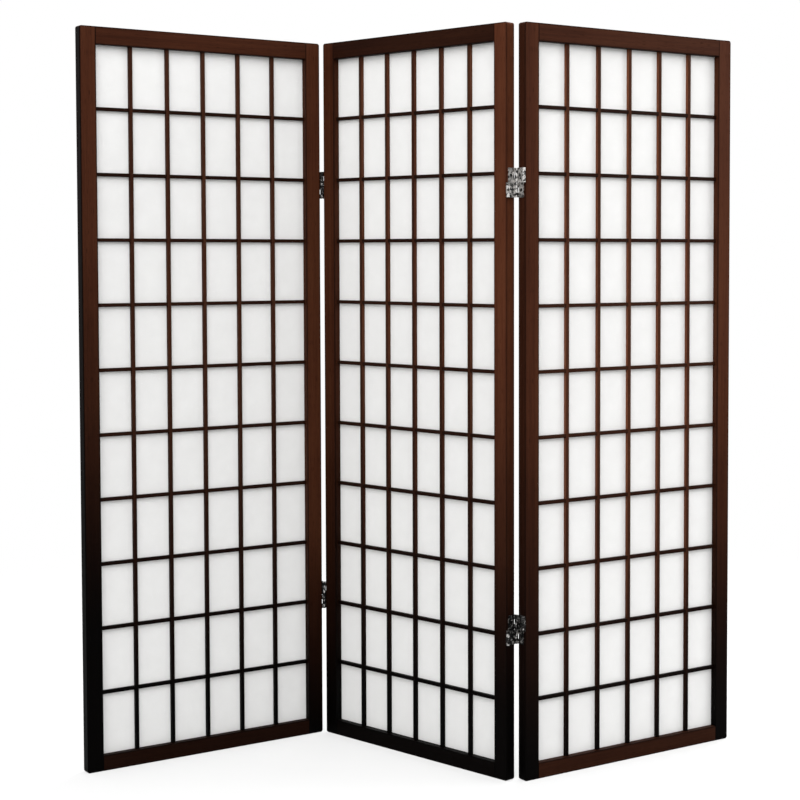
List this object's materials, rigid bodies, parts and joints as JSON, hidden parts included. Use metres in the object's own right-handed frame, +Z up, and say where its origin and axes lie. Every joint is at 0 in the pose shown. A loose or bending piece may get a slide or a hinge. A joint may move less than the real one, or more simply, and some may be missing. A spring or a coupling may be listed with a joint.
{
  "type": "folding room divider screen",
  "caption": "Tall three-fold room divider: dark wood frames with a fine lattice over white paper, joined by double-action hinges and standing in a zigzag.",
  "frame": {"origin": "centre of the middle panel's foot, on the floor", "axes": "+Z up, +X along the run of the zigzag from the left panel to the right panel, -Y to the front"},
  "size_m": [1.0686, 0.301, 1.219],
  "materials": {
    "stile_wood": "dark walnut stain, satin lacquer, grain upright",
    "rail_wood": "dark walnut stain, satin lacquer, grain level",
    "upright_wood": "dark walnut stain, satin",
    "crossbar_wood": "dark walnut stain, satin",
    "side_bead_wood": "dark walnut stain, satin",
    "end_bead_wood": "dark walnut stain, satin",
    "dowel_wood": "bare beech",
    "shoji_paper": "white laminated rice paper, matt, fine fibres",
    "hinge_steel": "antique blackened steel, rubbed bright on the edges",
    "pin_steel": "plain steel",
    "screw_steel": "blackened steel",
    "brad_steel": "plain steel"
  },
  "bodies": {
    "middle_panel": {"left_fold_lower_hinge_bottom_link": "hinge_steel", "left_fold_lower_hinge_right_leaf": "hinge_steel", "left_fold_upper_hinge_bottom_link": "hinge_steel", "left_fold_upper_hinge_right_leaf": "hinge_steel", "middle_panel_bottom_rail": "rail_wood", "middle_panel_brads": "brad_steel", "middle_panel_dowels": "dowel_wood", "middle_panel_end_beads": "end_bead_wood", "middle_panel_hinge_pins": "pin_steel", "middle_panel_hinge_screws": "screw_steel", "middle_panel_lattice_crossbars": "crossbar_wood", "middle_panel_lattice_uprights": "upright_wood", "middle_panel_left_stile": "stile_wood", "middle_panel_paper": "shoji_paper", "middle_panel_right_stile": "stile_wood", "middle_panel_side_beads": "side_bead_wood", "middle_panel_top_rail": "rail_wood", "right_fold_lower_hinge_bottom_link": "hinge_steel", "right_fold_lower_hinge_left_leaf": "hinge_steel", "right_fold_upper_hinge_bottom_link": "hinge_steel", "right_fold_upper_hinge_left_leaf": "hinge_steel"},
    "left_panel": {"left_fold_lower_hinge_left_leaf": "hinge_steel", "left_fold_lower_hinge_top_link": "hinge_steel", "left_fold_upper_hinge_left_leaf": "hinge_steel", "left_fold_upper_hinge_top_link": "hinge_steel", "left_panel_bottom_rail": "rail_wood", "left_panel_brads": "brad_steel", "left_panel_dowels": "dowel_wood", "left_panel_end_beads": "end_bead_wood", "left_panel_hinge_pins": "pin_steel", "left_panel_hinge_screws": "screw_steel", "left_panel_lattice_crossbars": "crossbar_wood", "left_panel_lattice_uprights": "upright_wood", "left_panel_left_stile": "stile_wood", "left_panel_paper": "shoji_paper", "left_panel_right_stile": "stile_wood", "left_panel_side_beads": "side_bead_wood", "left_panel_top_rail": "rail_wood"},
    "right_panel": {"right_fold_lower_hinge_right_leaf": "hinge_steel", "right_fold_lower_hinge_top_link": "hinge_steel", "right_fold_upper_hinge_right_leaf": "hinge_steel", "right_fold_upper_hinge_top_link": "hinge_steel", "right_panel_bottom_rail": "rail_wood", "right_panel_brads": "brad_steel", "right_panel_dowels": "dowel_wood", "right_panel_end_beads": "end_bead_wood", "right_panel_hinge_pins": "pin_steel", "right_panel_hinge_screws": "screw_steel", "right_panel_lattice_crossbars": "crossbar_wood", "right_panel_lattice_uprights": "upright_wood", "right_panel_left_stile": "stile_wood", "right_panel_paper": "shoji_paper", "right_panel_right_stile": "stile_wood", "right_panel_side_beads": "side_bead_wood", "right_panel_top_rail": "rail_wood"}
  },
  "joints": [
    {"name": "left_fold", "type": "hinge", "parent": "middle_panel", "child": "left_panel", "pos_m": [-0.17932, 0.1321, 0], "axis": [0, 0, 1], "range_deg": [-77.9, 102.1]},
    {"name": "right_fold", "type": "hinge", "parent": "middle_panel", "child": "right_panel", "pos_m": [0.17932, -0.1321, 0], "axis": [0, 0, 1], "range_deg": [-77.9, 102.1]}
  ]
}
